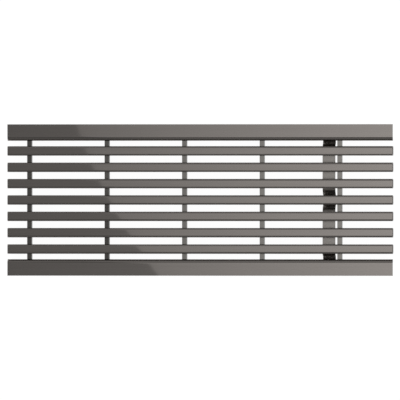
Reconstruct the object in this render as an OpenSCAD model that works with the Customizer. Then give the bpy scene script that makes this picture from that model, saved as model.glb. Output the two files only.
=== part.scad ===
// Channel drain grate: two folded edge rails, square tube bars on cross bars, and a bent locking spring.
// Millimetres, +X along the bars, +Y across them, +Z up, origin at the centre of the base.

/* [Grate] */
// Length of the rails and bars
grate_l = 500; // [300:1:1000]
// Height from the foot of the rails to the walking surface
grate_h = 25; // [23:0.5:36]

/* [Rails] */
// Width of a rail's top, from its inner fold to its outer edge
flange_w = 21.2; // [16:0.1:40]
// Thickness of the rails' sheet
rail_t = 3; // [2:0.5:4]
// Outer radius of the fold between a rail's top and its leg
fold_r = 5.6; // [4.6:0.1:9]
// How far a rail's leg stops short of the rail's ends
leg_relief = 2.5; // [1:0.5:8]

/* [Bars] */
// Number of bars between the rails
bar_count = 7; // [5:1:15]
// Width of a bar
bar_w = 12.2; // [8:0.1:20]
// Height of a bar
bar_h = 12; // [8:0.5:14]
// Wall of a bar's tube
bar_wall = 1.5; // [1:0.1:2.3]
// Outer radius of a bar's long edges
bar_r = 2.5; // [1.8:0.1:3.5]
// Clear slot between two bars
slot_w = 8.95; // [5:0.05:15]
// Clear slot between a rail and the nearest bar
edge_slot_w = 7.1; // [5:0.1:12]

/* [Cross bars] */
// Number of cross bars under the bars
cross_count = 5; // [2:1:8]
// Width of a cross bar
cross_w = 6; // [3:0.1:10]
// Radius of a cross bar's long edges
cross_r = 0.6; // [0.2:0.1:1.4]
// Clearance between the cross bars and the foot of the rails
cross_clear = 3; // [2.5:0.5:8]
// Distance from the left end of the grate to the first cross bar's centre
left_inset = 27.3; // [10:0.1:60]
// Distance from the right end of the grate to the last cross bar's centre
right_inset = 69.7; // [40:0.1:90]

/* [Locking spring] */
// Width of the spring strip
spring_w = 16.5; // [8:0.1:25]
// Thickness of the spring strip
spring_t = 1.5; // [0.8:0.1:2]
// Gap between the spring and the last cross bar
spring_gap = 2.6; // [2:0.1:20]
// Clearance between the spring and the foot of the rails
spring_clear = 0.8; // [0.4:0.1:2]
// Length of the flat at the bottom of the middle loop
loop_flat = 4; // [1:0.5:10]
// Bend radius at the bottom of the middle loop
loop_r = 5; // [3:0.5:8]
// Bend radius where the middle loop meets the flats
shoulder_r = 12; // [5:0.5:14]
// Steepest slope of the middle loop, degrees
loop_slope = 58; // [35:1:66]
// Bend radius where the spring turns down beside the outer bars
heel_r = 4; // [2:0.5:5]
// Slope of the spring beside the outer bars, degrees
heel_slope = 65; // [55:1:75]
// Bend radius where the spring turns outwards again
toe_r = 5; // [2:0.5:6]
// Slope of the toe where it passes through the rail's leg, degrees
toe_slope = 20; // [10:1:25]
// Distance from the rail's leg to the bend of the upturned tip
toe_reach = 2.3; // [1:0.1:6]
// Bend radius of the upturned tip
tip_r = 3; // [2:0.5:5]
// Slope of the upturned tip, degrees
tip_slope = 40; // [20:1:60]
// Length of the upturned tip
tip_l = 3; // [1:0.5:6]
// Clearance between the spring and its notch in the rail's leg
notch_gap = 1.5; // [0.5:0.1:3]
// Radius of the notch's corners
notch_r = 1.5; // [0.5:0.1:2.5]

/* [Welds] */
// Leg of the fillet welds on the cross bars
weld_leg = 1.8; // [1:0.1:2.4]
// Leg of the tack welds along the spring
tack_leg = 1.2; // [0.8:0.1:1.5]
// Length of a tack weld along the spring
tack_l = 5; // [3:0.5:6]

/* [Hidden] */
function numbered(name, count) = [for (i = [1:count]) str(name, "_", i)];
$fn = 48;

// How far a cut runs past the face that it opens
overcut = 1;
// Smallest radius inside a tube's corner
least_r = 0.2;
// Steps along each bend of the spring
bend_steps = 10;

// Places across the grate
bar_pitch = bar_w + slot_w;
bars_half = (bar_count * bar_w + (bar_count - 1) * slot_w) / 2;
inner_half = bars_half + edge_slot_w;
bar_flat = bar_w - 2 * bar_r;
leg_h = grate_h - fold_r;
function bar_y(i) = (bar_count + 1 - 2 * i) * bar_pitch / 2;

// Heights and places along the grate
bar_base = grate_h - bar_h;
cross_h = bar_base - cross_clear;
cross_pitch = (grate_l - left_inset - right_inset) / (cross_count - 1);
function cross_x(i) = left_inset - grate_l / 2 + (i - 1) * cross_pitch;
spring_x = cross_x(cross_count) - cross_w / 2 - spring_gap - spring_w / 2;

// The spring's centre line: its two levels, and where the flats end
spring_low = spring_clear + spring_t / 2;
spring_high = bar_base - spring_t / 2;
spring_rise = spring_high - spring_low;
heel_y = bars_half - bar_r;

// Straight stretch of the middle loop that climbs what its two bends leave
loop_l = (spring_rise - (loop_r + shoulder_r) * (1 - cos(loop_slope))) / sin(loop_slope);

// What the heel and toe straights have left to drop and to reach, once the bends have taken their share
toe_drop = spring_rise - heel_r * (1 - cos(heel_slope))
    - toe_r * (cos(toe_slope) - cos(heel_slope)) - tip_r * (1 - cos(toe_slope));
toe_run = inner_half + rail_t + toe_reach - heel_y
    - heel_r * sin(heel_slope) - toe_r * (sin(heel_slope) - sin(toe_slope));
heel_l = (toe_drop * cos(toe_slope) - toe_run * sin(toe_slope)) / sin(heel_slope - toe_slope);
toe_l = (toe_run * sin(heel_slope) - toe_drop * cos(heel_slope)) / sin(heel_slope - toe_slope);

// The notch clears the top of the spring where it enters the leg
notch_w = spring_w + 2 * notch_gap;
notch_h = spring_low + tip_r * (1 - cos(toe_slope)) + (rail_t + toe_reach) * tan(toe_slope)
    + spring_t / 2 / cos(toe_slope) + notch_gap;

// A station on the spring's centre line is [y, z, heading]
function straight(from, l) = [from[0] + l * cos(from[2]), from[1] + l * sin(from[2]), from[2]];
function bend(from, r, turn) = [
    for (k = [1:bend_steps])
        let (heading = from[2] + turn * k / bend_steps, side = sign(turn))
        [from[0] + side * r * (sin(heading) - sin(from[2])),
         from[1] + side * r * (cos(from[2]) - cos(heading)),
         heading]
];
function last(list) = list[len(list) - 1];
function reversed(list) = [for (i = [len(list) - 1:-1:0]) list[i]];

// Half of the spring, from the middle of its loop out to its tip
loop_mid = [0, spring_low, 0];
loop_end = straight(loop_mid, loop_flat / 2);
loop_bend = bend(loop_end, loop_r, loop_slope);
shoulder = straight(last(loop_bend), loop_l);
shoulder_bend = bend(shoulder, shoulder_r, -loop_slope);
heel = [heel_y, spring_high, 0];
heel_bend = bend(heel, heel_r, -heel_slope);
toe = straight(last(heel_bend), heel_l);
toe_bend = bend(toe, toe_r, heel_slope - toe_slope);
tip = straight(last(toe_bend), toe_l);
tip_bend = bend(tip, tip_r, toe_slope + tip_slope);
tip_end = straight(last(tip_bend), tip_l);
half_line = concat([loop_end], loop_bend, [shoulder], shoulder_bend, [heel], heel_bend,
    [toe], toe_bend, [tip], tip_bend, [tip_end]);
spring_line = concat([for (s = reversed(half_line)) [-s[0], s[1], -s[2]]], half_line);

// Bars that the spring's flats lie under over the whole length of a tack weld, clear of the bend
flat_from = last(shoulder_bend)[0] + tack_leg;
tacked_bars = [
    for (i = [1:bar_count])
        let (y = abs(bar_y(i)))
        if (y - tack_l / 2 > flat_from && y + tack_l / 2 < heel_y) i
];

// Rectangle with round corners, centred
module rounded(w, h, r) {
    square([w, h - 2 * r], center = true);
    square([w - 2 * r, h], center = true);
    for (x = [-1, 1], y = [-1, 1])
        translate([x * (w / 2 - r), y * (h / 2 - r)])
            circle(r);
}

// Extrudes a Y-Z section along X, centred
module along_x(l) {
    rotate([90, 0, 90])
        linear_extrude(l, center = true)
            children();
}

// Section of the rear rail: its flat top, the fold and the leg
module rail_section() {
    translate([inner_half, 0])
        square([rail_t, leg_h]);
    translate([inner_half + fold_r, grate_h - rail_t])
        square([flange_w - fold_r, rail_t]);
    translate([inner_half + fold_r, grate_h - fold_r])
        intersection() {
            difference() {
                circle(fold_r);
                circle(fold_r - rail_t);
            }
            translate([-fold_r, 0])
                square(fold_r);
        }
}

// Cuts an opening with round corners through the leg, open at its foot
module leg_cut(x, w, h, r) {
    translate([x, inner_half + rail_t / 2, 0])
        rotate([90, 0, 0])
            linear_extrude(rail_t + 2 * overcut, center = true)
                rounded(w, 2 * h, r);
}

module rail() {
    color([0.55, 0.53, 0.52])
        difference() {
            along_x(grate_l)
                rail_section();
            leg_cut(spring_x, notch_w, notch_h, notch_r);
            for (end = [-1, 1])
                leg_cut(end * grate_l / 2, 2 * leg_relief, leg_h, leg_relief / 2);
        }
}

module rail_rear() {
    rail();
}

module rail_front() {
    mirror([0, 1, 0])
        rail();
}

// Bars are counted from the rear rail
module bar(i) {
    color([0.54, 0.52, 0.51])
        translate([0, bar_y(i), bar_base + bar_h / 2])
            along_x(grate_l)
                difference() {
                    rounded(bar_w, bar_h, bar_r);
                    rounded(bar_w - 2 * bar_wall, bar_h - 2 * bar_wall, max(bar_r - bar_wall, least_r));
                }
}

// Cross bars are counted from the left end
module cross_bar(i) {
    color([0.49, 0.48, 0.46])
        translate([cross_x(i), 0, cross_clear + cross_h / 2])
            rotate([90, 0, 0])
                linear_extrude(2 * inner_half, center = true)
                    rounded(cross_w, cross_h, cross_r);
}

module locking_spring() {
    above = [for (s = spring_line) [s[0] - sin(s[2]) * spring_t / 2, s[1] + cos(s[2]) * spring_t / 2]];
    below = [for (s = spring_line) [s[0] + sin(s[2]) * spring_t / 2, s[1] - cos(s[2]) * spring_t / 2]];
    color([0.50, 0.49, 0.47])
        translate([spring_x, 0, 0])
            along_x(spring_w)
                polygon(concat(above, reversed(below)));
}

// Quarter round bead along Y that fills the corner under a face, on the side that side gives
module bead(leg, l, side) {
    rotate([90, 0, 0])
        linear_extrude(l, center = true)
            intersection() {
                circle(leg);
                translate([side > 0 ? 0 : -leg, -leg])
                    square(leg);
            }
}

// Welds of one cross bar: to the bars above it, and under its ends to the rails' legs
module welds(i) {
    color([0.42, 0.40, 0.38])
        translate([cross_x(i), 0, 0]) {
            for (n = [1:bar_count], side = [-1, 1])
                translate([side * cross_w / 2, bar_y(n), bar_base])
                    bead(weld_leg, bar_flat, side);
            for (end = [-1, 1])
                translate([0, end * inner_half, cross_clear])
                    rotate([0, 0, 90])
                        bead(weld_leg, cross_w - 2 * cross_r, -end);
        }
}

module spring_welds() {
    color([0.42, 0.40, 0.38])
        for (n = tacked_bars)
            translate([spring_x - spring_w / 2, bar_y(n), bar_base])
                bead(tack_leg, tack_l, -1);
}

rail_rear();
rail_front();
locking_spring();
spring_welds();
for (i = [1:bar_count])
    bar(i);
for (i = [1:cross_count])
    cross_bar(i);
for (i = [1:cross_count])
    welds(i);
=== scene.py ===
"""Looks of a channel drain grate: ground steel rails and tubes, a bent locking spring and rippled welds."""

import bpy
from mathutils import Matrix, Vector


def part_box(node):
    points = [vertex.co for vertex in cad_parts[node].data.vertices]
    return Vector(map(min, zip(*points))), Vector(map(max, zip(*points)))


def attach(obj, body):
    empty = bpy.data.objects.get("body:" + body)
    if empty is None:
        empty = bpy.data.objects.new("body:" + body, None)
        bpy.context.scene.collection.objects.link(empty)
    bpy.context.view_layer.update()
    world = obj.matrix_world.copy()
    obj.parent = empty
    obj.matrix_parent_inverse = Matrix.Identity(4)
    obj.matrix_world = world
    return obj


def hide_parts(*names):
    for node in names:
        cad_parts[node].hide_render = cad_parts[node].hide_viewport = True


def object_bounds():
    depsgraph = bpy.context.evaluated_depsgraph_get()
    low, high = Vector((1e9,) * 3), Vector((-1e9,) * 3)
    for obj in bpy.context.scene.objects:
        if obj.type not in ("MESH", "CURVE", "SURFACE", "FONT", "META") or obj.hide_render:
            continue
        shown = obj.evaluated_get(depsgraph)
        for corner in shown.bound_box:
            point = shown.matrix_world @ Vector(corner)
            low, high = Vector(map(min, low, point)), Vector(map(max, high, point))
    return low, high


bl_info = {
    "name": "Channel drain grate",
    "version": (1, 0, 0),
    "blender": (4, 5, 0),
    "location": "3D View > Sidebar > Grate",
    "description": "Models and finishes a welded channel drain grate around its CAD frame",
    "category": "Object",
}

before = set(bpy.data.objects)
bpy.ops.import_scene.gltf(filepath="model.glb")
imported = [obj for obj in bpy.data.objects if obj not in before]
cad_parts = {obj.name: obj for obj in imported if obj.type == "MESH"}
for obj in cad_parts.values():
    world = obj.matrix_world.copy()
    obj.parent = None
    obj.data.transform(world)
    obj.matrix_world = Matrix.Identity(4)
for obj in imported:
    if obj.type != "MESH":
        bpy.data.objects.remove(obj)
cad_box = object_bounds()

import math

import bmesh
import bpy
from bpy.props import FloatProperty, FloatVectorProperty, IntProperty, PointerProperty
from mathutils import Vector

BODY = "root"
BAR_NODES = sorted(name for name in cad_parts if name.startswith("bar_"))
CROSS_NODES = sorted(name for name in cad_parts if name.startswith("cross_bar_"))
WELD_NODES = sorted(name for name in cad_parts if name.startswith("welds_"))

BASE_LOW, BASE_HIGH = cad_box
LENGTH = BASE_HIGH.x - BASE_LOW.x
TOP_Z = BASE_HIGH.z
RAIL_LOW, RAIL_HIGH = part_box("rail_rear")
INNER_HALF = RAIL_LOW.y
OUTER_HALF = RAIL_HIGH.y
BAR_LOW, BAR_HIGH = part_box(BAR_NODES[0])
BAR_W = BAR_HIGH.y - BAR_LOW.y
BAR_H = BAR_HIGH.z - BAR_LOW.z
BAR_BASE = BAR_LOW.z
BARS_HALF = BAR_HIGH.y
CROSS_LOW, CROSS_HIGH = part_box(CROSS_NODES[0])
CROSS_BASE = CROSS_LOW.z
CROSS_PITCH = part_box(CROSS_NODES[1])[0].x - CROSS_LOW.x
SPRING_LOW, SPRING_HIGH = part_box("locking_spring")
SPRING_X = (SPRING_LOW.x + SPRING_HIGH.x) / 2
SPRING_W = SPRING_HIGH.x - SPRING_LOW.x

# How the grain is stretched: lines along X on rails and bars, along Y on cross bars and spring
ALONG_X = (14.0, 2600.0, 2600.0)
ALONG_Y = (2600.0, 14.0, 2600.0)
GRAIN_BUMP = 0.25
GRAIN_DEPTH = 0.000004
# Tints glancing reflections, so that steel doesn't turn white at its edges
GRAZING_TINT = (0.35, 0.35, 0.35, 1.0)
# Share of the handling marks on each steel, and how much each kind of mark roughens it
MARKS_AMOUNT = 0.6
GRAIN_ROUGHENS = 0.03
SMEAR_ROUGHENS = 0.05
SCRATCH_ROUGHENS = 0.15
# Where each band of heat tint starts and where it is full, as shares of its reach from the weld
STRAW_BAND = (1.35, 0.85)
BLUE_BAND = (0.95, 0.60)
# Weld metal: its smoothest roughness, and what its grit adds
WELD_ROUGHNESS = 0.22
GRIT_ROUGHENS = 0.2
GRIT_BUMP = 0.5
GRIT_DEPTH = 0.00008

# Edges sharper than the first are deburred, and softer than the others are shaded smooth
DEBURRED_ANGLE = math.radians(40)
SMOOTH_ANGLE = math.radians(60)
BEAD_SMOOTH_ANGLE = math.radians(50)
# A weld bead's ripple: spacing of its rings, and how far its ends and its valleys draw in
BEAD_SIDES = 24
RING_SPACING = 0.0009
BEAD_END = 0.7
BEAD_VALLEY = 0.93
TACK_COUNT = 4

# Curves of the studio, each as constant, slope and bow over metres on the grate
CARD_CURVE = (0.725, 1.27, -0.2)
FILM_EDGE = (-0.1177, -0.543, 1.11)
FILM_PASSING = (0.6254, 0.2113, 3.63)
LEAST_CARD_LEVEL = 0.1
FILM_EDGE_BLUR = 0.0005
# Where the film starts, in grate lengths from the middle, and where it has its full grey across
FILM_START = -0.7
FILM_FULL = 0.75
# Heights between which the surround brightens, and how far the flags' levels blend, in its radii
SURROUND_LOW = 0.05
SURROUND_HIGH = 0.6
FLAG_BLEND = 0.1
# Where a flag has faded out across, in its own half widths, and the height over which it sets in
FLAG_FADE = 1.7
FLAG_RISE = 0.4
# Floor and world: what the camera and gloss see is near white, and the fill is half of it
FLOOR_GLOW = 0.96
FLOOR_SHADOWED = (0.10, 0.10, 0.10, 1.0)
FLOOR_MATT = (0.8, 0.8, 0.8, 1.0)
FLOOR_SIDE = 80
FILL_LEVEL = 0.5
CAMERA_REACH = 100.0


def length_value(name, text, value):
    return FloatProperty(
        name=name, description=text, default=value, min=0.0, subtype="DISTANCE", unit="LENGTH", precision=5
    )


def angle_value(name, text, degrees):
    return FloatProperty(
        name=name, description=text, default=math.radians(degrees), subtype="ANGLE", unit="ROTATION"
    )


def share_value(name, text, value):
    return FloatProperty(name=name, description=text, default=value, min=0.0, max=1.0, subtype="FACTOR")


def colour_value(name, text, value):
    return FloatVectorProperty(
        name=name, description=text, default=value, size=3, min=0.0, max=1.0, subtype="COLOR"
    )


class GrateSizes(bpy.types.PropertyGroup):
    """Sizes of the modelled pieces that the frame's boxes don't give."""

    rail_t: length_value("Rail sheet", "Thickness of the rails' sheet", 0.003)
    fold_r: length_value("Rail fold", "Outer radius of the fold between a rail's top and its leg", 0.0056)
    leg_relief: length_value("Leg relief", "How far a rail's leg stops short of the rail's ends", 0.0025)
    notch_gap: length_value("Notch clearance", "Clearance between the spring and its notch", 0.0015)
    notch_r: length_value("Notch corner", "Radius of the notch's corners", 0.0015)
    bar_wall: length_value("Bar wall", "Wall of a bar's tube", 0.0015)
    bar_r: length_value("Bar edge", "Outer radius of a bar's long edges", 0.0025)
    deburr: length_value("Deburring", "Width of the deburred edge of cut sheet and tube", 0.00022)
    spring_t: length_value("Spring strip", "Thickness of the spring strip", 0.0015)
    spring_corner: length_value("Spring corner", "Radius of the corners of the spring's tips", 0.002)
    loop_flat: length_value("Loop flat", "Length of the flat at the bottom of the middle loop", 0.004)
    loop_r: length_value("Loop bend", "Bend radius at the bottom of the middle loop", 0.005)
    shoulder_r: length_value("Shoulder bend", "Bend radius where the loop meets the flats", 0.012)
    loop_slope: angle_value("Loop slope", "Steepest slope of the middle loop", 58)
    heel_r: length_value("Heel bend", "Bend radius where the spring turns down at the outer bars", 0.004)
    heel_slope: angle_value("Heel slope", "Slope of the spring beside the outer bars", 65)
    toe_r: length_value("Toe bend", "Bend radius where the spring turns outwards again", 0.005)
    toe_slope: angle_value("Toe slope", "Slope of the toe where it passes through the rail's leg", 20)
    toe_reach: length_value("Toe reach", "Distance from the leg to the bend of the upturned tip", 0.0023)
    tip_r: length_value("Tip bend", "Bend radius of the upturned tip", 0.003)
    tip_slope: angle_value("Tip slope", "Slope of the upturned tip", 40)
    tip_l: length_value("Tip length", "Length of the upturned tip", 0.003)
    weld_leg: length_value("Weld leg", "Leg of the fillet welds on the cross bars", 0.0018)
    cross_r: length_value("Cross bar edge", "Radius of a cross bar's long edges", 0.0006)
    tack_leg: length_value("Tack leg", "Leg of the tack welds along the spring", 0.0012)
    tack_l: length_value("Tack length", "Length of a tack weld along the spring", 0.005)
    bend_steps: IntProperty(name="Bend steps", description="Steps of each bend", default=16, min=4, max=48)


class GrateFinish(bpy.types.PropertyGroup):
    """Colours and surface of the steel."""

    rail_colour: colour_value("Rail steel", "Reflection colour of the rails", (0.262, 0.241, 0.226))
    bar_colour: colour_value("Bar steel", "Reflection colour of the bars", (0.262, 0.241, 0.226))
    cross_colour: colour_value("Cross bar steel", "Reflection colour of cross bars", (0.235, 0.226, 0.212))
    # Painted shade: each cross bar's colour is scaled by its factor, which darkens the left-hand bars to
    # stand in for the dimmer light on them
    cross_painted_shades: FloatVectorProperty(
        name="Cross bar painted shades",
        description="Shade of each cross bar's steel, counted from the left",
        default=(0.69, 0.62, 0.94, 1.0, 1.0),
        size=5,
        min=0.0,
        max=1.0,
    )
    spring_colour: colour_value("Spring steel", "Reflection colour of the spring", (0.287, 0.271, 0.254))
    weld_colour: colour_value("Weld metal", "Reflection colour of the weld beads", (0.30, 0.27, 0.24))
    straw_tint: colour_value("Straw tint", "Heat tint furthest from a weld", (0.28, 0.215, 0.15))
    blue_tint: colour_value("Blue tint", "Heat tint nearest to a weld", (0.16, 0.165, 0.20))
    ground_roughness: share_value("Ground steel roughness", "Roughness of the rails and the bars", 0.10)
    cross_roughness: share_value("Cross bar roughness", "Roughness of the cross bars", 0.16)
    spring_roughness: share_value("Spring roughness", "Roughness of the spring strip", 0.31)
    grain_tone: share_value("Grain tone", "How far the grain shades the steel", 0.04)
    tint_reach: length_value("Heat tint reach", "How far the heat tint spreads from a weld", 0.0055)


class GrateStage(bpy.types.PropertyGroup):
    """Camera, floor and studio."""

    camera_distance: length_value("Camera distance", "Distance from the camera to the grate", 20.0)
    camera_tilt: angle_value("Camera tilt", "How far the camera stands off to the right", 5.5)
    frame_share: share_value("Frame share", "Share of the picture's width that the grate fills", 0.963)
    card_height: length_value("Card height", "Height of the soft card over the grate", 0.5)
    card_half_width: length_value("Card half width", "Half of the card's width across the grate", 0.13)
    card_half_length: length_value("Card half length", "Half of the card's length along the grate", 0.42)
    film_height: length_value("Film height", "Height of the grey film over the left end", 0.10)
    film_half_width: length_value("Film half width", "Half of the film's width across the grate", 0.15)
    surround_radius: length_value("Surround radius", "Radius of the round studio", 3.0)
    horizon_level: share_value("Horizon", "Level of the surround near the floor", 0.55)
    upper_level: share_value("Upper surround", "Level of the surround high up", 1.0)
    front_flag_level: share_value("Front flag", "Level of the dark flag at the front", 0.24)
    back_flag_level: share_value("Back flag", "Level of the dark flag at the back", 0.38)
    flag_half_width: length_value("Flag half width", "Half of the width of a dark flag", 0.45)
    flag_foot: length_value("Flag foot", "Height of a dark flag's lower edge", 0.7)


def deselect():
    bpy.ops.object.select_all(action="DESELECT")


def activate(piece):
    deselect()
    piece.select_set(True)
    bpy.context.view_layer.objects.active = piece


def edit(piece):
    activate(piece)
    bpy.ops.object.mode_set(mode="EDIT")


def leave_edit():
    bpy.ops.object.mode_set(mode="OBJECT")


def pick(piece, kind, test):
    """Selects, in edit mode, the faces, edges or verts whose middle passes the test."""
    bpy.ops.mesh.select_mode(type={"faces": "FACE", "edges": "EDGE", "verts": "VERT"}[kind])
    bpy.ops.mesh.select_all(action="DESELECT")
    mesh = bmesh.from_edit_mesh(piece.data)
    for element in getattr(mesh, kind):
        corners = [element.co] if kind == "verts" else [v.co for v in element.verts]
        if test(sum(corners, Vector()) / len(corners), corners):
            element.select_set(True)
    mesh.select_flush_mode()
    bmesh.update_edit_mesh(piece.data)


def near(a, b, gap=1e-6):
    return abs(a - b) < gap


def apply_place(piece):
    activate(piece)
    bpy.ops.object.transform_apply(location=True, rotation=True, scale=True)


def box_piece(name, centre, size):
    """A cube at its size and place, to be shaped further."""
    deselect()
    bpy.ops.mesh.primitive_cube_add(size=1, location=centre)
    piece = bpy.context.object
    piece.name = name
    piece.scale = size
    apply_place(piece)
    return piece


def sheet_piece(name, centre, size):
    """A flat sheet at its size and place, to be folded further."""
    deselect()
    bpy.ops.mesh.primitive_plane_add(size=1, location=centre)
    piece = bpy.context.object
    piece.name = name
    piece.scale = (size[0], size[1], 1)
    apply_place(piece)
    return piece


def apply_modifier(piece, kind, **values):
    activate(piece)
    modifier = piece.modifiers.new(kind.title(), kind)
    for key, value in values.items():
        setattr(modifier, key, value)
    bpy.ops.object.modifier_apply(modifier=modifier.name)


def ease_edges(piece, width):
    """Breaks the sharp edges and keeps the flats flat to the light."""
    apply_modifier(piece, "BEVEL", width=width, segments=2, limit_method="ANGLE", angle_limit=DEBURRED_ANGLE)
    activate(piece)
    bpy.ops.object.shade_smooth_by_angle(angle=SMOOTH_ANGLE)
    apply_modifier(piece, "WEIGHTED_NORMAL", weight=100, keep_sharp=True)


def copy_piece(piece, name):
    twin = piece.copy()
    twin.data = piece.data.copy()
    twin.name = name
    bpy.context.collection.objects.link(twin)
    return twin


def join_pieces(pieces, name):
    deselect()
    for piece in pieces:
        piece.select_set(True)
    bpy.context.view_layer.objects.active = pieces[0]
    bpy.ops.object.join()
    joined = bpy.context.object
    joined.name = name
    return joined


def place_on_frame(piece, material, node):
    piece.data.materials.clear()
    piece.data.materials.append(material)
    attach(piece, BODY)
    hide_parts(node)


def new_tree(material):
    material.use_nodes = True
    tree = material.node_tree
    tree.nodes.clear()
    return tree


def node_of(tree, kind, **values):
    node = tree.nodes.new(kind)
    for key, value in values.items():
        setattr(node, key, value)
    return node


def feed(tree, source, socket):
    """Links a socket, or sets a plain value."""
    if isinstance(source, bpy.types.NodeSocket):
        tree.links.new(source, socket)
    else:
        socket.default_value = source


def maths(tree, operation, first, second=0.0, third=0.0):
    node = node_of(tree, "ShaderNodeMath", operation=operation)
    for source, socket in zip((first, second, third), node.inputs):
        feed(tree, source, socket)
    return node.outputs[0]


def blend_colours(tree, factor, first, second):
    node = node_of(tree, "ShaderNodeMix", data_type="RGBA")
    feed(tree, factor, node.inputs["Factor"])
    for source, socket in ((first, node.inputs[6]), (second, node.inputs[7])):
        feed(tree, source if isinstance(source, bpy.types.NodeSocket) else (*source, 1.0), socket)
    return node.outputs[2]


def ramp(tree, source, low, high, out_low=0.0, out_high=1.0):
    node = node_of(tree, "ShaderNodeMapRange", interpolation_type="SMOOTHSTEP")
    for value, socket in zip((source, low, high, out_low, out_high), node.inputs):
        feed(tree, value, socket)
    return node.outputs[0]


def noise(tree, vector, scale, detail=2.0):
    node = node_of(tree, "ShaderNodeTexNoise")
    feed(tree, vector, node.inputs["Vector"])
    node.inputs["Scale"].default_value = scale
    node.inputs["Detail"].default_value = detail
    return node.outputs["Fac"]


def stretched(tree, vector, scale):
    node = node_of(tree, "ShaderNodeMapping")
    feed(tree, vector, node.inputs["Vector"])
    node.inputs["Scale"].default_value = scale
    return node.outputs[0]


def open_group(name, inputs, outputs):
    """A node group with named sockets, and its input and output nodes."""
    group = bpy.data.node_groups.new(name, "ShaderNodeTree")
    for label, kind, value in inputs:
        socket = group.interface.new_socket(label, in_out="INPUT", socket_type=kind)
        if value is not None:
            socket.default_value = value
    for label, kind in outputs:
        group.interface.new_socket(label, in_out="OUTPUT", socket_type=kind)
    return group, group.nodes.new("NodeGroupInput"), group.nodes.new("NodeGroupOutput")


def grain_group():
    """Fine lines that a belt leaves along the steel. The vector arrives stretched along them."""
    if "Belt grain" in bpy.data.node_groups:
        return bpy.data.node_groups["Belt grain"]
    group, given, result = open_group(
        "Belt grain",
        [("Vector", "NodeSocketVector", None)],
        [("Height", "NodeSocketFloat"), ("Tone", "NodeSocketFloat")],
    )
    fine = noise(group, given.outputs["Vector"], scale=1.0, detail=3.0)
    broad = noise(group, given.outputs["Vector"], scale=0.21, detail=2.0)
    both = maths(group, "ADD", maths(group, "MULTIPLY", fine, 0.65), maths(group, "MULTIPLY", broad, 0.35))
    feed(group, both, result.inputs["Height"])
    feed(group, ramp(group, both, 0.32, 0.68), result.inputs["Tone"])
    return group


def marks_group():
    """Soft smears from handling, and sparse fine scratches."""
    if "Handling marks" in bpy.data.node_groups:
        return bpy.data.node_groups["Handling marks"]
    group, given, result = open_group(
        "Handling marks",
        [("Vector", "NodeSocketVector", None), ("Amount", "NodeSocketFloat", 1.0)],
        [("Smear", "NodeSocketFloat"), ("Scratch", "NodeSocketFloat")],
    )
    smear = ramp(group, noise(group, given.outputs["Vector"], scale=9.0, detail=4.0), 0.42, 0.72)
    slanted = node_of(group, "ShaderNodeMapping")
    feed(group, given.outputs["Vector"], slanted.inputs["Vector"])
    slanted.inputs["Rotation"].default_value = (0.0, 0.0, math.radians(24))
    slanted.inputs["Scale"].default_value = (14.0, 900.0, 200.0)
    scratch = ramp(group, noise(group, slanted.outputs[0], scale=1.0, detail=1.0), 0.74, 0.80)
    feed(group, maths(group, "MULTIPLY", smear, given.outputs["Amount"]), result.inputs["Smear"])
    feed(group, maths(group, "MULTIPLY", scratch, given.outputs["Amount"]), result.inputs["Scratch"])
    return group


def heat_group():
    """Straw and blue bands round each cross bar, low on the steel above it."""
    if "Weld heat" in bpy.data.node_groups:
        return bpy.data.node_groups["Weld heat"]
    group, given, result = open_group(
        "Weld heat",
        [
            ("Vector", "NodeSocketVector", None),
            ("First", "NodeSocketFloat", 0.0),
            ("Pitch", "NodeSocketFloat", 0.1),
            ("Height", "NodeSocketFloat", 0.013),
            ("Reach", "NodeSocketFloat", 0.007),
        ],
        [("Straw", "NodeSocketFloat"), ("Blue", "NodeSocketFloat")],
    )
    parts = node_of(group, "ShaderNodeSeparateXYZ")
    feed(group, given.outputs["Vector"], parts.inputs[0])
    along = maths(group, "SUBTRACT", parts.outputs["X"], given.outputs["First"])
    half = maths(group, "MULTIPLY", given.outputs["Pitch"], 0.5)
    side = maths(group, "PINGPONG", along, half)
    up = maths(group, "SUBTRACT", parts.outputs["Z"], given.outputs["Height"])
    square = maths(group, "ADD", maths(group, "MULTIPLY", side, side), maths(group, "MULTIPLY", up, up))
    ripple = maths(group, "MULTIPLY", noise(group, given.outputs["Vector"], scale=160.0, detail=2.0), 0.5)
    distance = maths(group, "DIVIDE", maths(group, "SQRT", square), given.outputs["Reach"])
    worn = maths(group, "ADD", distance, ripple)
    feed(group, ramp(group, worn, *STRAW_BAND), result.inputs["Straw"])
    feed(group, ramp(group, worn, *BLUE_BAND), result.inputs["Blue"])
    return group


def steel_shader(material, tone, rough, height, strength, depth):
    """The metal shader that each steel ends in, bumped by its height."""
    tree = material.node_tree
    bump = node_of(tree, "ShaderNodeBump")
    bump.inputs["Strength"].default_value = strength
    bump.inputs["Distance"].default_value = depth
    feed(tree, height, bump.inputs["Height"])
    shader = node_of(tree, "ShaderNodeBsdfPrincipled")
    shader.inputs["Metallic"].default_value = 1.0
    shader.inputs["Specular Tint"].default_value = GRAZING_TINT
    feed(tree, tone, shader.inputs["Base Color"])
    feed(tree, rough, shader.inputs["Roughness"])
    feed(tree, bump.outputs[0], shader.inputs["Normal"])
    result = node_of(tree, "ShaderNodeOutputMaterial")
    feed(tree, shader.outputs[0], result.inputs["Surface"])
    return material


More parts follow.
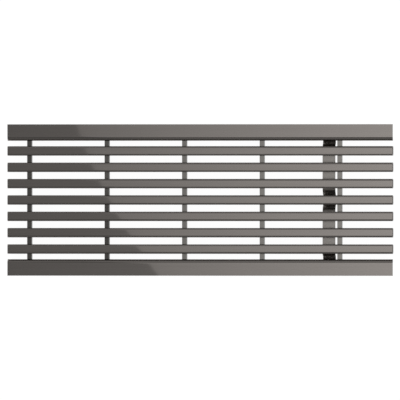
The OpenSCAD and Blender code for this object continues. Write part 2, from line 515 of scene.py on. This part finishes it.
def ground_steel(name, colour, roughness, stretch, tinted):
    """Ground stainless steel with its grain along the direction that stretch leaves long."""
    finish = bpy.context.scene.grate_finish
    material = bpy.data.materials.new(name)
    tree = new_tree(material)
    place = node_of(tree, "ShaderNodeTexCoord").outputs["Object"]
    grain = node_of(tree, "ShaderNodeGroup", node_tree=grain_group())
    feed(tree, stretched(tree, place, stretch), grain.inputs["Vector"])
    marks = node_of(tree, "ShaderNodeGroup", node_tree=marks_group())
    feed(tree, place, marks.inputs["Vector"])
    marks.inputs["Amount"].default_value = MARKS_AMOUNT
    shade = 1.0 - finish.grain_tone
    dark = [channel * shade for channel in colour]
    light = [min(channel * (2.0 - shade), 1.0) for channel in colour]
    tone = blend_colours(tree, grain.outputs["Tone"], dark, light)
    if tinted:
        heat = node_of(tree, "ShaderNodeGroup", node_tree=heat_group())
        feed(tree, place, heat.inputs["Vector"])
        heat.inputs["First"].default_value = (CROSS_LOW.x + CROSS_HIGH.x) / 2
        heat.inputs["Pitch"].default_value = CROSS_PITCH
        heat.inputs["Height"].default_value = BAR_BASE
        heat.inputs["Reach"].default_value = finish.tint_reach
        tone = blend_colours(tree, heat.outputs["Straw"], tone, finish.straw_tint)
        tone = blend_colours(tree, heat.outputs["Blue"], tone, finish.blue_tint)
    least = roughness - GRAIN_ROUGHENS / 2
    rough = maths(tree, "MULTIPLY_ADD", grain.outputs["Tone"], GRAIN_ROUGHENS, least)
    rough = maths(tree, "MULTIPLY_ADD", marks.outputs["Smear"], SMEAR_ROUGHENS, rough)
    rough = maths(tree, "MULTIPLY_ADD", marks.outputs["Scratch"], SCRATCH_ROUGHENS, rough)
    return steel_shader(material, tone, rough, grain.outputs["Height"], GRAIN_BUMP, GRAIN_DEPTH)


def rail_steel():
    finish = bpy.context.scene.grate_finish
    return ground_steel("Rail steel", finish.rail_colour, finish.ground_roughness, ALONG_X, False)


def bar_steel():
    finish = bpy.context.scene.grate_finish
    return ground_steel("Bar steel", finish.bar_colour, finish.ground_roughness, ALONG_X, True)


def cross_bar_steel_painted_shade(shade):
    """Steel of one cross bar. Its colour is darkened by the given painted shade, which stands in for the
    dimmer light on the cross bars at the left.
    """
    finish = bpy.context.scene.grate_finish
    colour = [shade * channel for channel in finish.cross_colour]
    return ground_steel("Cross bar steel", colour, finish.cross_roughness, ALONG_Y, False)


def spring_steel():
    finish = bpy.context.scene.grate_finish
    return ground_steel("Spring steel", finish.spring_colour, finish.spring_roughness, ALONG_Y, False)


def weld_metal():
    """Rough weld metal with patches of straw and blue."""
    finish = bpy.context.scene.grate_finish
    material = bpy.data.materials.new("Weld metal")
    tree = new_tree(material)
    place = node_of(tree, "ShaderNodeTexCoord").outputs["Object"]
    patch = ramp(tree, noise(tree, place, scale=420.0, detail=3.0), 0.40, 0.62)
    tone = blend_colours(tree, patch, finish.weld_colour, finish.straw_tint)
    bluing = ramp(tree, noise(tree, place, scale=260.0, detail=2.0), 0.52, 0.70)
    tone = blend_colours(tree, bluing, tone, finish.blue_tint)
    grit = noise(tree, place, scale=2400.0, detail=3.0)
    rough = maths(tree, "MULTIPLY_ADD", grit, GRIT_ROUGHENS, WELD_ROUGHNESS)
    return steel_shader(material, tone, rough, grit, GRIT_BUMP, GRIT_DEPTH)


def fold_rail(name, side):
    """One rail: a flat top, folded down into a leg along its inner side, then given its thickness."""
    sizes = bpy.context.scene.grate_sizes
    half_t = sizes.rail_t / 2
    inner = side * (INNER_HALF + half_t)
    outer = side * OUTER_HALF
    mid_z = TOP_Z - half_t
    rail = sheet_piece(name, (0, (inner + outer) / 2, mid_z), (LENGTH, abs(outer - inner)))
    edit(rail)
    pick(rail, "edges", lambda middle, corners: near(middle.y, inner))
    bpy.ops.mesh.extrude_region_move(TRANSFORM_OT_translate={"value": (0, 0, BASE_LOW.z - mid_z)})
    pick(rail, "edges", lambda middle, corners: near(middle.y, inner) and near(middle.z, mid_z))
    bpy.ops.mesh.bevel(offset=sizes.fold_r - half_t, segments=sizes.bend_steps, affect="EDGES")
    bpy.ops.mesh.select_all(action="SELECT")
    bpy.ops.mesh.normals_make_consistent(inside=False)
    leave_edit()
    apply_modifier(rail, "SOLIDIFY", thickness=sizes.rail_t, offset=0.0, use_even_offset=True)
    return rail


def notch_height(sizes):
    """Height of the notch that clears the spring where it enters the leg."""
    slope = sizes.toe_slope
    middle = SPRING_LOW.z + sizes.spring_t / 2 + sizes.tip_r * (1 - math.cos(slope))
    climb = (sizes.rail_t + sizes.toe_reach) * math.tan(slope)
    return middle + climb + sizes.spring_t / 2 / math.cos(slope) + sizes.notch_gap


def cut_leg(rail, side, x, width, height, radius):
    """Cuts an opening with round corners through a rail's leg, open at its foot."""
    rail_t = bpy.context.scene.grate_sizes.rail_t
    centre = (x, side * (INNER_HALF + rail_t / 2), BASE_LOW.z)
    cutter = box_piece("leg_cutter", centre, (width, 3 * rail_t, 2 * height))
    edit(cutter)
    pick(cutter, "edges", lambda middle, ends: near(ends[0].x, ends[1].x) and near(ends[0].z, ends[1].z))
    bpy.ops.mesh.bevel(offset=radius, segments=6, affect="EDGES")
    leave_edit()
    apply_modifier(rail, "BOOLEAN", operation="DIFFERENCE", solver="EXACT", object=cutter)
    bpy.data.objects.remove(cutter)


class GRATE_OT_rails(bpy.types.Operator):
    """Model the two edge rails."""

    bl_idname = "grate.rails"
    bl_label = "Edge rails"

    def execute(self, context):
        sizes = context.scene.grate_sizes
        material = rail_steel()
        for node, side in (("rail_rear", 1), ("rail_front", -1)):
            rail = fold_rail(node + "_sheet", side)
            notch_w = SPRING_W + 2 * sizes.notch_gap
            cut_leg(rail, side, SPRING_X, notch_w, notch_height(sizes), sizes.notch_r)
            relief = sizes.leg_relief
            for end in (BASE_LOW.x, BASE_HIGH.x):
                cut_leg(rail, side, end, 2 * relief, TOP_Z - sizes.fold_r, relief / 2)
            ease_edges(rail, sizes.deburr)
            place_on_frame(rail, material, node)
        return {"FINISHED"}


def tube_bar():
    """One bar at the middle of the grate: a box with round edges, opened at its ends and given its wall."""
    sizes = bpy.context.scene.grate_sizes
    tube = box_piece("bar_tube", (0, 0, BAR_BASE + BAR_H / 2), (LENGTH, BAR_W, BAR_H))
    edit(tube)
    pick(tube, "faces", lambda middle, corners: near(abs(middle.x), LENGTH / 2))
    bpy.ops.mesh.delete(type="ONLY_FACE")
    pick(tube, "edges", lambda middle, corners: near(middle.x, 0.0))
    bpy.ops.mesh.bevel(offset=sizes.bar_r, segments=sizes.bend_steps // 2, affect="EDGES")
    bpy.ops.mesh.select_all(action="SELECT")
    bpy.ops.mesh.normals_make_consistent(inside=False)
    leave_edit()
    apply_modifier(tube, "SOLIDIFY", thickness=sizes.bar_wall, offset=-1.0, use_even_offset=True)
    ease_edges(tube, sizes.deburr)
    return tube


class GRATE_OT_bars(bpy.types.Operator):
    """Model one bar and copy it to each bar's place."""

    bl_idname = "grate.bars"
    bl_label = "Bars"

    def execute(self, context):
        material = bar_steel()
        master = tube_bar()
        for node in BAR_NODES:
            low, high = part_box(node)
            bar = copy_piece(master, node + "_tube")
            bar.location.y = (low.y + high.y) / 2
            apply_place(bar)
            place_on_frame(bar, material, node)
        bpy.data.objects.remove(master)
        return {"FINISHED"}


class GRATE_OT_cross_bars(bpy.types.Operator):
    """Finish the cross bars, which keep their CAD shape."""

    bl_idname = "grate.cross_bars"
    bl_label = "Cross bars"

    def execute(self, context):
        # Each cross bar gets its own steel, darkened by its painted shade, darkest on the two at the left
        for name, shade in zip(CROSS_NODES, context.scene.grate_finish.cross_painted_shades):
            material = cross_bar_steel_painted_shade(shade)
            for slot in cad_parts[name].material_slots:
                slot.link = "OBJECT"
                slot.material = material
        return {"FINISHED"}


class StripEnd:
    """The open edge of a strip that is being bent: its place, heading and the moves that lengthen it."""

    def __init__(self, y, z):
        self.y = y
        self.z = z
        self.heading = 0.0

    def straight(self, length):
        step = (0, length * math.cos(self.heading), length * math.sin(self.heading))
        bpy.ops.mesh.extrude_region_move(TRANSFORM_OT_translate={"value": step})
        self.y += step[1]
        self.z += step[2]

    def bend(self, radius, turn, steps):
        side = math.copysign(1, turn)
        centre_y = self.y - side * radius * math.sin(self.heading)
        centre_z = self.z + side * radius * math.cos(self.heading)
        bpy.ops.mesh.spin(steps=steps, angle=-turn, center=(SPRING_X, centre_y, centre_z), axis=(1, 0, 0))
        self.heading += turn
        self.y = centre_y + side * radius * math.sin(self.heading)
        self.z = centre_z - side * radius * math.cos(self.heading)


def spring_straights(sizes):
    """Lengths of the straights that the bends leave: the loop's, the heel's and the toe's."""
    low = SPRING_LOW.z + sizes.spring_t / 2
    rise = BAR_BASE - sizes.spring_t / 2 - low
    loop_bends = (sizes.loop_r + sizes.shoulder_r) * (1 - math.cos(sizes.loop_slope))
    loop = (rise - loop_bends) / math.sin(sizes.loop_slope)
    sin_h, cos_h = math.sin(sizes.heel_slope), math.cos(sizes.heel_slope)
    sin_t, cos_t = math.sin(sizes.toe_slope), math.cos(sizes.toe_slope)
    drop = rise - sizes.heel_r * (1 - cos_h) - sizes.toe_r * (cos_t - cos_h) - sizes.tip_r * (1 - cos_t)
    run = (
        INNER_HALF + sizes.rail_t + sizes.toe_reach - (BARS_HALF - sizes.bar_r)
        - sizes.heel_r * sin_h - sizes.toe_r * (sin_h - sin_t)
    )
    apart = math.sin(sizes.heel_slope - sizes.toe_slope)
    return loop, (drop * cos_t - run * sin_t) / apart, (run * sin_h - drop * cos_h) / apart


def bend_spring():
    """Half of the spring, bent from the middle of its loop out to its tip, then mirrored."""
    sizes = bpy.context.scene.grate_sizes
    steps = sizes.bend_steps
    low = SPRING_LOW.z + sizes.spring_t / 2
    loop_l, heel_l, toe_l = spring_straights(sizes)
    half_flat = sizes.loop_flat / 2
    strip = sheet_piece("locking_spring_strip", (SPRING_X, half_flat / 2, low), (SPRING_W, half_flat))
    edit(strip)
    pick(strip, "edges", lambda middle, corners: near(middle.y, half_flat))
    end = StripEnd(half_flat, low)
    end.bend(sizes.loop_r, sizes.loop_slope, steps)
    end.straight(loop_l)
    end.bend(sizes.shoulder_r, -sizes.loop_slope, steps)
    end.straight(BARS_HALF - sizes.bar_r - end.y)
    end.bend(sizes.heel_r, -sizes.heel_slope, steps)
    end.straight(heel_l)
    end.bend(sizes.toe_r, sizes.heel_slope - sizes.toe_slope, steps)
    end.straight(toe_l)
    end.bend(sizes.tip_r, sizes.toe_slope + sizes.tip_slope, steps)
    end.straight(sizes.tip_l)
    tip_y = end.y
    pick(strip, "verts", lambda middle, corners: near(middle.y, tip_y, 1e-5))
    bpy.ops.mesh.bevel(offset=sizes.spring_corner, segments=5, affect="VERTICES")
    leave_edit()
    reach = max(vertex.co.y for vertex in strip.data.vertices)
    if not near(reach, tip_y, 1e-5):
        raise RuntimeError(f"the spring's tip lies at {reach:.5f} m, not at {tip_y:.5f} m")
    across = (False, True, False)
    apply_modifier(strip, "MIRROR", use_axis=across, use_mirror_merge=True, merge_threshold=1e-6)
    edit(strip)
    bpy.ops.mesh.select_all(action="SELECT")
    bpy.ops.mesh.normals_make_consistent(inside=False)
    leave_edit()
    apply_modifier(strip, "SOLIDIFY", thickness=sizes.spring_t, offset=0.0, use_even_offset=True)
    ease_edges(strip, sizes.deburr / 2)
    return strip


class GRATE_OT_locking_spring(bpy.types.Operator):
    """Bend the locking spring."""

    bl_idname = "grate.locking_spring"
    bl_label = "Locking spring"

    def execute(self, context):
        place_on_frame(bend_spring(), spring_steel(), "locking_spring")
        return {"FINISHED"}


def ripple_bead(leg, length):
    """A weld bead along Y in the corner +X, -Z: rings drawn out with a ripple, then cut to the corner."""
    rings = max(4, round(length / RING_SPACING))
    step = length / (2 * rings)
    radius = leg * BEAD_END
    start = (0, -length / 2, 0)
    deselect()
    bpy.ops.mesh.primitive_circle_add(
        vertices=BEAD_SIDES, radius=radius, fill_type="NGON", location=start, rotation=(math.pi / 2, 0, 0)
    )
    bead = bpy.context.object
    apply_place(bead)
    edit(bead)
    bpy.ops.mesh.select_all(action="SELECT")
    swell = [1.0, BEAD_VALLEY] * rings
    swell[-1] = BEAD_END
    for ring, share in enumerate(swell, 1):
        wanted = leg * share
        centre = (0, ring * step - length / 2, 0)
        bpy.ops.mesh.extrude_region_move(TRANSFORM_OT_translate={"value": (0, step, 0)})
        bpy.ops.transform.resize(value=(wanted / radius, 1, wanted / radius), center_override=centre)
        radius = wanted
    for normal in ((1, 0, 0), (0, 0, -1)):
        bpy.ops.mesh.select_all(action="SELECT")
        bpy.ops.mesh.bisect(plane_co=(0, 0, 0), plane_no=normal, use_fill=True, clear_inner=True)
    bpy.ops.mesh.select_all(action="SELECT")
    bpy.ops.mesh.normals_make_consistent(inside=False)
    leave_edit()
    activate(bead)
    bpy.ops.object.shade_smooth_by_angle(angle=BEAD_SMOOTH_ANGLE)
    return bead


def set_bead(master, place, turn):
    bead = copy_piece(master, "bead")
    bead.location = place
    bead.rotation_euler.z = turn
    apply_place(bead)
    return bead


class GRATE_OT_welds(bpy.types.Operator):
    """Lay the weld beads on each cross bar and along the spring."""

    bl_idname = "grate.welds"
    bl_label = "Welds"

    def execute(self, context):
        sizes = context.scene.grate_sizes
        material = weld_metal()
        flat = BAR_W - 2 * sizes.bar_r
        bar_places = [(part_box(node)[0].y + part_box(node)[1].y) / 2 for node in BAR_NODES]
        fillet = ripple_bead(sizes.weld_leg, flat)
        end_fillet = ripple_bead(sizes.weld_leg, CROSS_HIGH.x - CROSS_LOW.x - 2 * sizes.cross_r)
        for node, cross in zip(WELD_NODES, CROSS_NODES):
            low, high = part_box(cross)
            beads = []
            for y in bar_places:
                beads.append(set_bead(fillet, (high.x, y, BAR_BASE), 0))
                beads.append(set_bead(fillet, (low.x, y, BAR_BASE), math.pi))
            middle = (low.x + high.x) / 2
            beads.append(set_bead(end_fillet, (middle, -INNER_HALF, CROSS_BASE), math.pi / 2))
            beads.append(set_bead(end_fillet, (middle, INNER_HALF, CROSS_BASE), -math.pi / 2))
            place_on_frame(join_pieces(beads, node + "_beads"), material, node)
        self.lay_tacks(sizes, bar_places, material)
        for master in (fillet, end_fillet):
            bpy.data.objects.remove(master)
        return {"FINISHED"}

    def lay_tacks(self, sizes, bar_places, material):
        low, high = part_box("spring_welds")
        tack = ripple_bead(sizes.tack_leg, sizes.tack_l)
        reach = (high.y - low.y - sizes.tack_l) / 2
        inside = [y for y in bar_places if abs(y) < reach + 1e-4]
        outer = sorted(inside, key=abs)[-TACK_COUNT:]
        tacks = [set_bead(tack, (SPRING_LOW.x, y, BAR_BASE), math.pi) for y in outer]
        place_on_frame(join_pieces(tacks, "spring_tack_beads"), material, "spring_welds")
        bpy.data.objects.remove(tack)


def white_to_the_eye(tree):
    """1 for rays from the camera, from gloss and through glass, and 0 for the rest."""
    path = node_of(tree, "ShaderNodeLightPath")
    either = maths(tree, "MAXIMUM", path.outputs["Is Camera Ray"], path.outputs["Is Glossy Ray"])
    return maths(tree, "MAXIMUM", either, path.outputs["Is Transmission Ray"])


def floor_material():
    """A pale floor that shows white and keeps a trace of the grate's shadow. It is clear from beneath."""
    material = bpy.data.materials.new("Pale floor")
    tree = new_tree(material)
    matt = node_of(tree, "ShaderNodeBsdfDiffuse")
    matt.inputs["Color"].default_value = FLOOR_MATT
    faint = node_of(tree, "ShaderNodeBsdfDiffuse")
    faint.inputs["Color"].default_value = FLOOR_SHADOWED
    glow = node_of(tree, "ShaderNodeEmission")
    glow.inputs["Strength"].default_value = FLOOR_GLOW
    both = node_of(tree, "ShaderNodeAddShader")
    feed(tree, faint.outputs[0], both.inputs[0])
    feed(tree, glow.outputs[0], both.inputs[1])
    seen = node_of(tree, "ShaderNodeMixShader")
    feed(tree, white_to_the_eye(tree), seen.inputs[0])
    feed(tree, matt.outputs[0], seen.inputs[1])
    feed(tree, both.outputs[0], seen.inputs[2])
    clear = node_of(tree, "ShaderNodeBsdfTransparent")
    sided = node_of(tree, "ShaderNodeMixShader")
    feed(tree, node_of(tree, "ShaderNodeNewGeometry").outputs["Backfacing"], sided.inputs[0])
    feed(tree, seen.outputs[0], sided.inputs[1])
    feed(tree, clear.outputs[0], sided.inputs[2])
    result = node_of(tree, "ShaderNodeOutputMaterial")
    feed(tree, sided.outputs[0], result.inputs["Surface"])
    return material


def glowing(name, build):
    """A material that gives off the level that build works out, by where on the piece it is."""
    material = bpy.data.materials.new(name)
    tree = new_tree(material)
    glow = node_of(tree, "ShaderNodeEmission")
    feed(tree, build(tree), glow.inputs["Strength"])
    result = node_of(tree, "ShaderNodeOutputMaterial")
    feed(tree, glow.outputs[0], result.inputs["Surface"])
    return material


def surround_level(tree):
    """Greyer near the floor, white above, with a dark flag at the front and at the back."""
    stage = bpy.context.scene.grate_stage
    parts = node_of(tree, "ShaderNodeSeparateXYZ")
    feed(tree, node_of(tree, "ShaderNodeTexCoord").outputs["Object"], parts.inputs[0])
    radius = stage.surround_radius
    low, high = SURROUND_LOW * radius, SURROUND_HIGH * radius
    plain = ramp(tree, parts.outputs["Z"], low, high, stage.horizon_level, stage.upper_level)
    middle = -radius * math.sin(stage.camera_tilt)
    aside = maths(tree, "ABSOLUTE", maths(tree, "SUBTRACT", parts.outputs["X"], middle))
    across = ramp(tree, aside, FLAG_FADE * stage.flag_half_width, stage.flag_half_width)
    above = ramp(tree, parts.outputs["Z"], stage.flag_foot, stage.flag_foot + FLAG_RISE)
    flag = maths(tree, "MULTIPLY", across, above)
    blend = FLAG_BLEND * radius
    level = ramp(tree, parts.outputs["Y"], -blend, blend, stage.front_flag_level, stage.back_flag_level)
    lift = maths(tree, "SUBTRACT", level, plain)
    return maths(tree, "MULTIPLY_ADD", flag, lift, plain)


def mirrored_place(tree, height):
    """X and Y of the point on the tops that mirrors a point of a card at this height to the camera."""
    stage = bpy.context.scene.grate_stage
    spread = 1 + height / stage.camera_distance
    mapping = node_of(tree, "ShaderNodeMapping")
    feed(tree, node_of(tree, "ShaderNodeTexCoord").outputs["Object"], mapping.inputs["Vector"])
    mapping.inputs["Location"].default_value = (height * math.tan(stage.camera_tilt) / spread, 0, 0)
    mapping.inputs["Scale"].default_value = (1 / spread, 1 / spread, 1)
    parts = node_of(tree, "ShaderNodeSeparateXYZ")
    feed(tree, mapping.outputs[0], parts.inputs[0])
    return parts.outputs["X"], parts.outputs["Y"]


def curve_of(tree, source, curve):
    """constant + slope x + bow x squared."""
    constant, slope, bow = curve
    inner = maths(tree, "MULTIPLY_ADD", source, bow, slope)
    return maths(tree, "MULTIPLY_ADD", inner, source, constant)


def card_level(tree):
    """The card brightens to the right."""
    along = mirrored_place(tree, bpy.context.scene.grate_stage.card_height)[0]
    return maths(tree, "MAXIMUM", curve_of(tree, along, CARD_CURVE), LEAST_CARD_LEVEL)


def film_material():
    """A clear film, grey left of a slanting, slightly curved edge."""
    stage = bpy.context.scene.grate_stage
    material = bpy.data.materials.new("Grey film")
    tree = new_tree(material)
    x, y = mirrored_place(tree, stage.film_height)
    edge = curve_of(tree, y, FILM_EDGE)
    shaded = ramp(tree, maths(tree, "SUBTRACT", x, edge), FILM_EDGE_BLUR, -FILM_EDGE_BLUR)
    half_width = stage.film_half_width
    inside = ramp(tree, maths(tree, "ABSOLUTE", y), half_width, FILM_FULL * half_width)
    covered = maths(tree, "MULTIPLY", shaded, inside)
    stopped = maths(tree, "SUBTRACT", 1.0, curve_of(tree, x, FILM_PASSING))
    held = maths(tree, "MULTIPLY", covered, stopped)
    grey = node_of(tree, "ShaderNodeCombineColor")
    for socket in grey.inputs[:3]:
        feed(tree, maths(tree, "SUBTRACT", 1.0, held), socket)
    clear = node_of(tree, "ShaderNodeBsdfTransparent")
    feed(tree, grey.outputs[0], clear.inputs["Color"])
    result = node_of(tree, "ShaderNodeOutputMaterial")
    feed(tree, clear.outputs[0], result.inputs["Surface"])
    return material


class GRATE_OT_stage(bpy.types.Operator):
    """Set up the floor, the studio and the camera."""

    bl_idname = "grate.stage"
    bl_label = "Stage"

    def execute(self, context):
        stage = context.scene.grate_stage
        self.lay_floor()
        self.hang_card(stage)
        self.hang_film(stage)
        self.raise_surround(stage)
        self.light_world(context.scene)
        self.place_camera(context.scene, stage)
        return {"FINISHED"}

    def lay_floor(self):
        floor = sheet_piece("floor", (0, 0, BASE_LOW.z), (FLOOR_SIDE, FLOOR_SIDE))
        floor.data.materials.append(floor_material())

    def hang_card(self, stage):
        size = (2 * stage.card_half_length, 2 * stage.card_half_width)
        card = sheet_piece("soft_card", (0, 0, TOP_Z + stage.card_height), size)
        card.data.materials.append(glowing("Soft card", card_level))
        card.visible_camera = False

    def hang_film(self, stage):
        left, right = FILM_START * LENGTH, 0.0
        middle = ((left + right) / 2, 0, TOP_Z + stage.film_height)
        film = sheet_piece("grey_film", middle, (right - left, 2 * stage.film_half_width))
        film.data.materials.append(film_material())
        film.visible_camera = False

    def raise_surround(self, stage):
        deselect()
        bpy.ops.mesh.primitive_uv_sphere_add(
            segments=48, ring_count=24, radius=stage.surround_radius, location=(0, 0, BASE_LOW.z)
        )
        surround = bpy.context.object
        surround.name = "surround"
        apply_place(surround)
        edit(surround)
        pick(surround, "faces", lambda middle, corners: middle.z < BASE_LOW.z)
        bpy.ops.mesh.delete(type="FACE")
        leave_edit()
        surround.data.materials.append(glowing("Studio surround", surround_level))
        surround.visible_camera = False
        surround.visible_shadow = False

    def light_world(self, scene):
        world = bpy.data.worlds.new("Studio")
        scene.world = world
        world.use_nodes = True
        tree = world.node_tree
        tree.nodes.clear()
        back = node_of(tree, "ShaderNodeBackground")
        back.inputs["Color"].default_value = (1.0, 1.0, 1.0, 1.0)
        level = maths(tree, "MULTIPLY_ADD", white_to_the_eye(tree), 1.0 - FILL_LEVEL, FILL_LEVEL)
        feed(tree, level, back.inputs["Strength"])
        result = node_of(tree, "ShaderNodeOutputWorld")
        feed(tree, back.outputs[0], result.inputs["Surface"])

    def place_camera(self, scene, stage):
        tilt = stage.camera_tilt
        distance = stage.camera_distance
        shown = LENGTH * math.cos(tilt) / stage.frame_share
        lens = bpy.data.cameras.new("Camera")
        lens.lens = lens.sensor_width * distance / shown
        lens.clip_end = CAMERA_REACH
        camera = bpy.data.objects.new("Camera", lens)
        bpy.context.collection.objects.link(camera)
        nearer_end = (LENGTH / 2) ** 2 * math.sin(tilt) / distance
        aim = Vector((nearer_end, 0, TOP_Z))
        camera.location = aim + distance * Vector((math.sin(tilt), 0, math.cos(tilt)))
        camera.rotation_euler = (0, tilt, 0)
        scene.camera = camera


class GRATE_PT_panel(bpy.types.Panel):
    """Lists the steps that build the grate."""

    bl_label = "Channel drain grate"
    bl_idname = "GRATE_PT_panel"
    bl_space_type = "VIEW_3D"
    bl_region_type = "UI"
    bl_category = "Grate"

    def draw(self, context):
        for step in STEPS:
            self.layout.operator(step.bl_idname)
        for group in (context.scene.grate_sizes, context.scene.grate_finish, context.scene.grate_stage):
            box = self.layout.box()
            for name in group.__annotations__:
                box.prop(group, name)


STEPS = (
    GRATE_OT_rails,
    GRATE_OT_bars,
    GRATE_OT_cross_bars,
    GRATE_OT_locking_spring,
    GRATE_OT_welds,
    GRATE_OT_stage,
)
GROUPS = {"grate_sizes": GrateSizes, "grate_finish": GrateFinish, "grate_stage": GrateStage}


def register():
    for cls in (*GROUPS.values(), *STEPS, GRATE_PT_panel):
        bpy.utils.register_class(cls)
    for name, cls in GROUPS.items():
        setattr(bpy.types.Scene, name, PointerProperty(type=cls))


def unregister():
    for name in GROUPS:
        delattr(bpy.types.Scene, name)
    for cls in reversed((*GROUPS.values(), *STEPS, GRATE_PT_panel)):
        bpy.utils.unregister_class(cls)


def main():
    register()
    bpy.context.scene.view_settings.view_transform = "Standard"
    bpy.ops.grate.rails()
    bpy.ops.grate.bars()
    bpy.ops.grate.cross_bars()
    bpy.ops.grate.locking_spring()
    bpy.ops.grate.welds()
    bpy.ops.grate.stage()


if __name__ == "__main__":
    main()
